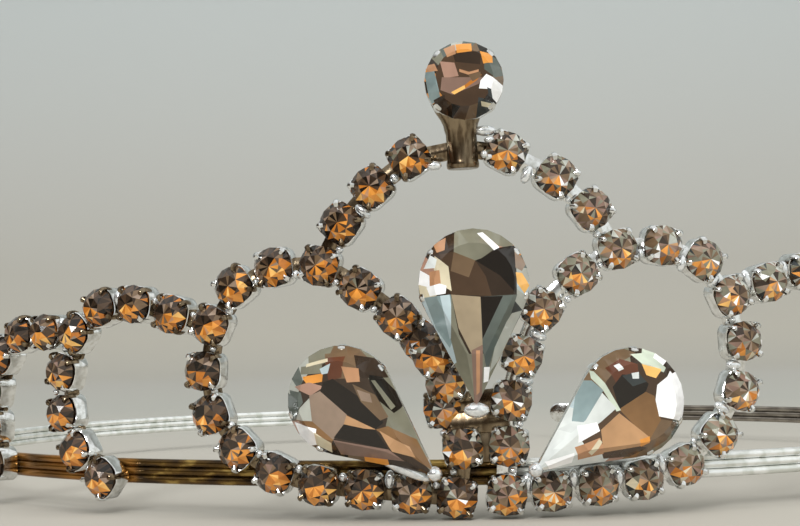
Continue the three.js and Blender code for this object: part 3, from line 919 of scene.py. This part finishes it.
RIGHT_VIEWS = [
    ("d",),
    ("m", -0.25, 0.85, 0.4, 0.9, 0.75, 0.55, 0.44, 0.4, -0.1, 0.4),
    ("d", 0.3, 0.82, 0.7, 0.75, 0.9, 0.4, 0.45, 0.4),
    ("r", -0.2, 0.78, 0.15, 0.8, 0.1, 0.42, -0.14, 0.36),
    ("P", 0.1, 0.62, 0.42, 0.58, 0.44, 0.34, 0.2, 0.33),
    ("g", -0.72, 0.62, -0.25, 0.66, -0.28, 0.5, -0.7, 0.48),
    ("o", -0.64, 0.44, -0.24, 0.5, -0.26, 0.35, -0.54, 0.3),
    ("u", -0.3, 0.58, -0.1, 0.68, -0.15, 0.5, -0.26, 0.48),
    ("c", -0.6, 0.67, -0.17, 0.77, -0.15, 0.71, -0.6, 0.61),
    ("p", -0.82, 0.26, -0.5, 0.34, -0.22, 0.26, -0.48, 0.1),
    ("e", -0.95, 0.2, -0.66, 0.16, -0.62, -0.02, -0.82, -0.3),
    ("k", -0.24, 0.34, -0.06, 0.4, 0.74, -0.16, 0.86, -0.4, 0.7, -0.52, 0.19, -0.25, -0.3, 0.18),
    ("m", 0.3, 0.3, 0.72, 0.1, 0.95, -0.3, 0.8, -0.36, 0.45, -0.02),
    ("t", 0.38, 0.2, 0.62, 0.12, 0.66, -0.04, 0.46, 0.0),
    ("k", 0.6, 0.46, 0.8, 0.42, 1.2, -0.05, 1.05, -0.26, 0.78, 0.0, 0.62, 0.3),
    ("g", 0.64, 0.36, 0.7, 0.36, 1.04, -0.12, 0.98, -0.18),
    ("g", 0.94, -0.3, 1.28, -0.04, 1.6, -0.45, 1.4, -0.72, 0.9, -0.46),
    ("P", 1.08, 0.1, 1.16, 0.12, 1.26, -0.06, 1.18, -0.1),
    ("t", -0.5, 0.1, -0.3, 0.18, 0.19, -0.25, 0.14, -0.42, -0.07, -0.7, -0.46, -0.36),
    ("s", -0.5, 0.06, -0.46, -0.36, -0.8, -0.34, -0.68, -0.12),
    ("N", -0.8, -0.34, -0.46, -0.36, -0.07, -0.7, -0.14, -0.8, -0.5, -0.5),
    ("w", -0.86, -0.38, -0.38, -0.5, -0.42, -0.8, -0.7, -0.84),
    ("c", -0.42, -0.56, -0.12, -0.76, -0.16, -0.95, -0.44, -0.8),
    ("k", 0.13, -0.42, 0.7, -0.52, 0.94, -0.88, -0.06, -0.66),
    ("T", 0.18, -0.26, 0.72, -0.52, 0.5, -0.5, 0.13, -0.42),
    ("q", -0.07, -0.7, 0.94, -0.88, 1.2, -1.1, 0.0, -0.98),
    ("N", 0.72, -0.52, 0.94, -0.46, 1.4, -0.72, 1.7, -1.3, 1.3, -1.0),
    ("T", 0.78, -0.54, 1.3, -0.84, 1.4, -1.04, 1.0, -0.92),
]
LEFT_EDGE = "dwMdgmmmLuLLLLpNmggegdww"
LEFT_VIEWS = [
    ("b",),
    ("m", -1.2, 0.4, -0.3, 1.05, 0.05, 0.9, -0.55, 0.62, -0.8, 0.3),
    ("r", -0.56, 0.64, -0.28, 0.8, 0.0, 0.7, 0.02, 0.44, -0.4, 0.34),
    ("k", -0.48, 0.3, -0.3, 0.52, 0.04, 0.5, 0.2, 0.34, 0.14, 0.2, -0.37, -0.1),
    ("n", -0.3, 0.5, 0.0, 0.56, 0.16, 0.38, -0.1, 0.3),
    ("L", -0.42, 0.68, -0.32, 0.72, -0.26, 0.62, -0.36, 0.58),
    ("L", -0.12, 0.54, 0.02, 0.56, 0.02, 0.44, -0.1, 0.44),
    ("M", -0.06, 0.88, 0.27, 0.9, 0.6, 0.62, 0.5, 0.54, 0.1, 0.68),
    ("y", 0.08, 0.7, 0.46, 0.6, 0.34, 0.44, 0.16, 0.5),
    ("N", -0.37, -0.1, 0.14, 0.2, 0.3, 0.12, 0.42, -0.34, 0.2, -0.68, 0.1, -0.6),
    ("m", 0.42, -0.3, 0.8, -0.38, 0.6, -0.7, 0.2, -0.9, 0.18, -0.68),
    ("T", -0.37, -0.17, 0.19, -0.62, 0.03, -0.78, -0.68, -0.88, -0.72, -0.46),
    ("o", 0.19, -0.6, 0.2, -0.72, 0.03, -0.8, 0.0, -0.66),
    ("b", -0.68, -0.88, 0.03, -0.78, 0.2, -0.82, -0.1, -0.98, -0.6, -1.0),
    ("M", -0.8, 0.6, -0.74, 0.58, -0.34, -0.12, -0.42, -0.14, -0.8, 0.46),
    ("w", -1.25, 0.3, -1.04, 0.3, -1.4, -0.38, -1.7, -0.5),
    ("v", -1.0, 0.42, -0.8, 0.42, -0.66, 0.24, -1.0, -0.32, -1.2, -0.3),
    ("L", -0.68, 0.2, -0.42, -0.08, -0.72, -0.32, -1.4, -0.78, -1.55, -0.8, -1.0, -0.28),
    ("w", -1.14, -0.38, -0.79, -0.32, -0.74, -0.48, -1.14, -0.68),
    ("P", -1.2, -0.76, -0.74, -0.6, -0.64, -0.9, -1.1, -1.0),
    ("c", -0.95, -0.86, -0.76, -0.62, -0.7, -0.68, -0.86, -0.92),
    ("w", -1.7, -1.02, -1.2, -0.86, -1.2, -1.05, -1.6, -1.16),
    ("w", 0.69, 0.56, 0.92, 0.32, 1.0, 0.0, 0.94, -0.37, 0.38, -0.25, 0.32, 0.05, 0.36, 0.32),
]
FINIAL_EDGE = "segdododkbmdkgmmdkme"
FINIAL_VIEWS = [
    ("b",),
    ("e", 0.5, 0.68, 0.84, 0.52, 1.0, 0.1, 0.76, 0.0, 0.5, 0.2),
    ("v", -1.0, 0.22, -0.76, 0.26, -0.6, -0.5, -0.86, -0.6),
    ("d", -0.28, 0.62, 0.44, 0.66, 0.4, 0.32, -0.22, 0.4),
    ("o", -0.2, 0.9, 0.2, 0.92, 0.2, 0.66, -0.18, 0.62),
    ("P", -0.5, 0.8, -0.22, 0.9, -0.2, 0.6, -0.42, 0.52),
    ("k", 0.34, 0.92, 0.66, 0.85, 0.66, 0.68, 0.4, 0.68),
    ("o", 0.4, 0.68, 0.72, 0.64, 0.72, 0.38, 0.48, 0.34),
    ("P", -0.98, 0.42, -0.74, 0.4, -0.66, 0.18, -0.92, 0.22),
    ("p", -0.6, 0.42, -0.24, 0.38, -0.14, 0.04, -0.5, 0.0),
    ("q", -0.56, 0.02, 0.46, 0.0, 0.36, -0.16, -0.3, -0.42, -0.6, -0.3),
    ("y", -0.34, -0.36, -0.26, -0.42, 0.02, -0.27, 0.0, -0.19),
    ("a", 0.0, -0.19, 0.02, -0.27, 0.3, -0.08, 0.43, 0.06, 0.38, 0.1),
    ("P", -0.12, 0.22, 0.12, 0.14, 0.36, 0.2, 0.36, 0.14, 0.1, 0.07, -0.12, 0.15),
    ("m", 0.1, 0.06, 0.4, 0.14, 0.42, 0.02, 0.2, -0.1),
    ("d", -0.78, -0.5, -0.5, -0.42, -0.42, -0.9, -0.64, -0.85),
    ("n", 0.34, -0.5, 0.72, -0.6, 0.52, -0.9, 0.28, -0.95),
    ("w", 0.55, 0.08, 1.02, -0.18, 0.86, -0.62, 0.7, -0.5, 0.64, -0.3, 0.36, -0.28, 0.4, -0.08),
    ("n", 0.56, -0.25, 0.66, -0.3, 0.7, -0.5, 0.6, -0.46),
    ("c", 0.4, -0.6, 0.74, -0.62, 0.7, -0.72, 0.42, -0.7),
]


def teardrop(name, along, up, back, turn, bead_half_width, bead_past, edge_tones, views):
    """A setting with its bead and its crystal; back is how far out its back stands."""
    shoulder, rim, girdle, table = 1.9, 2.4, 2.62, 4.2
    place = frame_at(along, up, back) @ Matrix.Rotation(turn, 4, "Z")
    claw_angles = [math.pi / 2 + a * math.pi for a in (0.3, -0.3, 0.58, -0.58)]
    metal = dish(place, PEAR_RADIUS, PEAR_REACH, shoulder, rim, claw_angles, (0.62, 0.22, 0.55))
    metal.piece(f"{name}_dish", plate, "silver", (f"{name}_setting",), 40)
    tip = Matrix.Translation((0, -PEAR_RADIUS * PEAR_REACH - bead_past + 0.15, rim))
    blob = bead(TIP_BEAD_RADIUS, (bead_half_width / TIP_BEAD_RADIUS, 1, 1))
    silver_piece(f"{name}_bead", blob, place @ tip, solder, (), 60)
    large_crystal(name, place, turn, PEAR_RADIUS - GEM_INSET, PEAR_REACH, (girdle, table),
                  edge_tones, views, f"{name}_crystal")


teardrop("centre_teardrop", *CENTRE_PEAR, 0, *TIP_BEAD["centre"], CENTRE_EDGE, CENTRE_VIEWS)
for hand, side in SIDES.items():
    rise = rad(SIDE_PEAR_ANGLE[hand])
    tip_along, tip_up = SIDE_PEAR_TIP[hand]
    length = PEAR_RADIUS * PEAR_REACH
    edge_tones, views = {"left": (LEFT_EDGE, LEFT_VIEWS), "right": (RIGHT_EDGE, RIGHT_VIEWS)}[hand]
    teardrop(f"{hand}_teardrop", side * (tip_along + length * math.cos(rise)),
             tip_up + length * math.sin(rise), SIDE_PEAR_BACK, side * (rise - math.pi / 2),
             *TIP_BEAD["side"], edge_tones, views)

# The run of solder along the lower side of the right teardrop.
seam_place = frame_at(-6.2, 0.72, 3.2) @ Matrix.Rotation(rad(-25), 4, "Z")
silver_piece("right_teardrop_seam", bead(0.52, (4.6, 1, 1)), seam_place, solder, (), 60)


# ---- finial ----
# The stem's outline from its foot up into the bowl: (share of its height, size).
STEM_OUTLINE = ((0, 0.9), (0.03, 0.98), (0.1, 1), (0.16, 0.98), (0.2, 0.97), (0.8, 0.97),
                (0.86, 1), (0.93, 1.03), (1, 1.06), (1.12, 1.2), (1.3, 1.5), (1.5, 1.75),
                (1.56, 1.5))
# Its solder beads: along, up from its foot, out, radius and stretch.
STEM_BEADS = ((-2.35, 0.35, 1.9, 0.4, (1.6, 1, 1)), (1.75, 1.0, 2.3, 0.32, (1.0, 1, 1)),
              (2.25, 2.2, 2.0, 0.36, (1.3, 0.8, 1)), (1.95, 3.0, 1.6, 0.5, (1.9, 0.9, 1)))


def finial():
    """The top crystal in its bowl, on a grooved stem that stands between the arch's ends."""
    place = frame_at(FINIAL_ALONG, FINIAL_HEIGHT)
    bowl, gem = FINIAL_RADIUS - 0.03, FINIAL_RADIUS - 0.08  # keep within the CAD's box
    metal = dish(place, bowl, 1, 1.7, 2.6, DIAGONALS, (0.7, 0.28, 0.6))
    metal.piece("finial_bowl", plate, "silver", ("finial_cup",), 40)
    large_crystal("finial", place, 0, gem, 1, (2.8, 4.2), FINIAL_EDGE, FINIAL_VIEWS,
                  "finial_crystal")
    axis_out = STEM_RADIUS + 0.1
    low = frame_at(0, STEM_FOOT, axis_out).translation
    high = frame_at(0, FINIAL_HEIGHT - FINIAL_RADIUS - 0.1, axis_out).translation
    run = high - low
    across = run.cross(Vector((0, -1, 0))).normalized()
    back = run.cross(across).normalized()
    sides, grooves, groove_depth = 48, 8, 0.04
    rings = []
    for share, size in STEM_OUTLINE:
        middle = low + run * share - back * (max(share - 0.9, 0) * 0.6)
        ring = []
        for k in range(sides):
            angle = k / sides * TURN
            wave = 0.5 + 0.5 * math.cos(grooves * angle)
            groove = 1 - groove_depth * wave * (0.16 < share < 0.84)
            deep = min(size, 1.02)
            ring.append(middle + across * STEM_RADIUS * size * groove * math.cos(angle)
                        + back * STEM_RADIUS * deep * groove * math.sin(angle))
        rings.append(ring)
    # The stem, and the ties below, are in the plate with painted shade.
    silver_piece("finial_post", loft(rings), None, shadowed, ("finial_stem",))
    ties = Build()
    for hand, side in SIDES.items():
        foot = frame_at(side * 0.4, STEM_FOOT + 1.6, 0.9)
        ties.add(*link_bar(arch_ends[hand], foot, 0.6, 1.5, 0.9))
    ties.piece("finial_ties", shadowed, "silver", (), 40)
    joints = Build()
    for along, up, out, size, stretch in STEM_BEADS:
        joints.add(*bead(size, stretch), frame_at(along, STEM_FOOT + up, out))
    joints.piece("finial_solder", solder, "silver", (), 60)


finial()


# ---- stage: floor, light and camera, in metres ----
def backdrop(name, points, faces, material, smooth=False):
    mesh = bpy.data.meshes.new(name)
    mesh.from_pydata(points, [], faces)
    mesh.polygons.foreach_set("use_smooth", [smooth] * len(faces))
    mesh.materials.append(material)
    add_object(name, mesh)


def stage():
    """A pale floor that runs up into a wall, and a wide floor just below it for other views."""
    half_width, front, wall_y, wall_top, radius, steps = 1.5, -1.6, 0.9, 1.6, 0.35, 12
    reach, below = 50.0, -0.001
    paper, tree, shader = new_material("pale_paper")
    # Painted light: the paper's colour grows lighter from the front of the floor, up the sweep, to
    # the top of the wall.
    place = tree.axes("Object")
    distance = tree.new("Math", {0: place["Z"], 1: 2, 2: place["Y"]}, operation="MULTIPLY_ADD")
    along = tree.new("MapRange", {"Value": distance.outputs["Value"], "From Max": 1.4})
    tree.feed(shader, {
        "Roughness": 0.9,
        "Specular IOR Level": 0.1,
        "Base Color": tree.ramp(
            along.outputs["Result"], (0.0, "aaa69d"), (0.13, "a8a8a1"), (0.3, "b6b4ad"),
            (0.5, "c1bdb2"), (0.62, "c0bdb4"), (0.77, "c8c8c3"), (1.0, "d4dada")),
    })
    profile = [(front, 0), (wall_y - radius, 0)]
    for k in range(1, steps + 1):
        angle = k / steps * math.pi / 2
        profile.append((wall_y - radius + radius * math.sin(angle),
                        radius - radius * math.cos(angle)))
    profile.append((wall_y, wall_top))
    points = [(x, y, z) for y, z in profile for x in (-half_width, half_width)]
    faces = [[2 * i, 2 * i + 1, 2 * i + 3, 2 * i + 2] for i in range(len(profile) - 1)]
    backdrop("sweep", points, faces, paper, smooth=True)
    corners = ((-reach, -reach), (reach, -reach), (reach, reach), (-reach, reach))
    backdrop("floor", [(x, y, below) for x, y in corners], [[0, 1, 2, 3]], paper)


def area(name, place, size, power, colour):
    """A round lamp that looks at the tiara."""
    light = bpy.data.lights.new(name, "AREA")
    light.shape, light.size, light.energy, light.color = "DISK", size, power, colour
    lamp = add_object(name, light)
    lamp.location = place
    aim = Vector(AIM) - Vector(place)
    lamp.rotation_euler = aim.to_track_quat("-Z", "Y").to_euler()
    return lamp


def surroundings():
    """Soft room light: warm and dim on the wearer's right, pale and bright on the left and
    above, so that the plate has something to mirror."""
    dim, bright, above = (0.055, 0.032, 0.016, 1), (1.0, 1.03, 1.0, 1), (1.0, 1.02, 1.02, 1)
    world = bpy.data.worlds.new("room")
    bpy.context.scene.world = world
    tree = Nodes(world)
    place = tree.axes("Generated")
    room = tree.mixed(dim, bright, tree.share(place["X"], -0.25, 0.5))
    room = tree.mixed(room, above, tree.share(place["Z"], 0.3, 0.8))
    tree.feed(tree.nodes["Background"], {"Color": room, "Strength": 0.8})


def camera():
    """At the photograph's viewing angle: close in front, just above the band, tipped up."""
    from_band = Vector((-4.94, -175.7, 10.8))  # millimetres
    yaw, pitch, roll = 0.0106, 0.0531, -0.0194
    view = bpy.data.cameras.new("camera")
    view.lens, view.sensor_width, view.clip_start = 67.5, 36, 0.01
    eye = add_object("camera", view)
    turn = (Matrix.Rotation(yaw, 4, "Z") @ Matrix.Rotation(math.pi / 2 + pitch, 4, "X")
            @ Matrix.Rotation(roll, 4, "Z"))
    eye.matrix_world = Matrix.Translation((BAND_MIDDLE + from_band) * MM) @ turn
    bpy.context.scene.camera = eye


AIM = (0, 0, 0.02)
stage()
surroundings()
key = area("key", (0.1, -0.4, 0.7), 1.0, 6, (1, 0.99, 0.97))
key.visible_glossy = False
area("window", (-0.18, -0.5, 0.3), 0.14, 1.3, (0.97, 0.99, 1))
camera()
bpy.context.scene.view_settings.view_transform = "Standard"
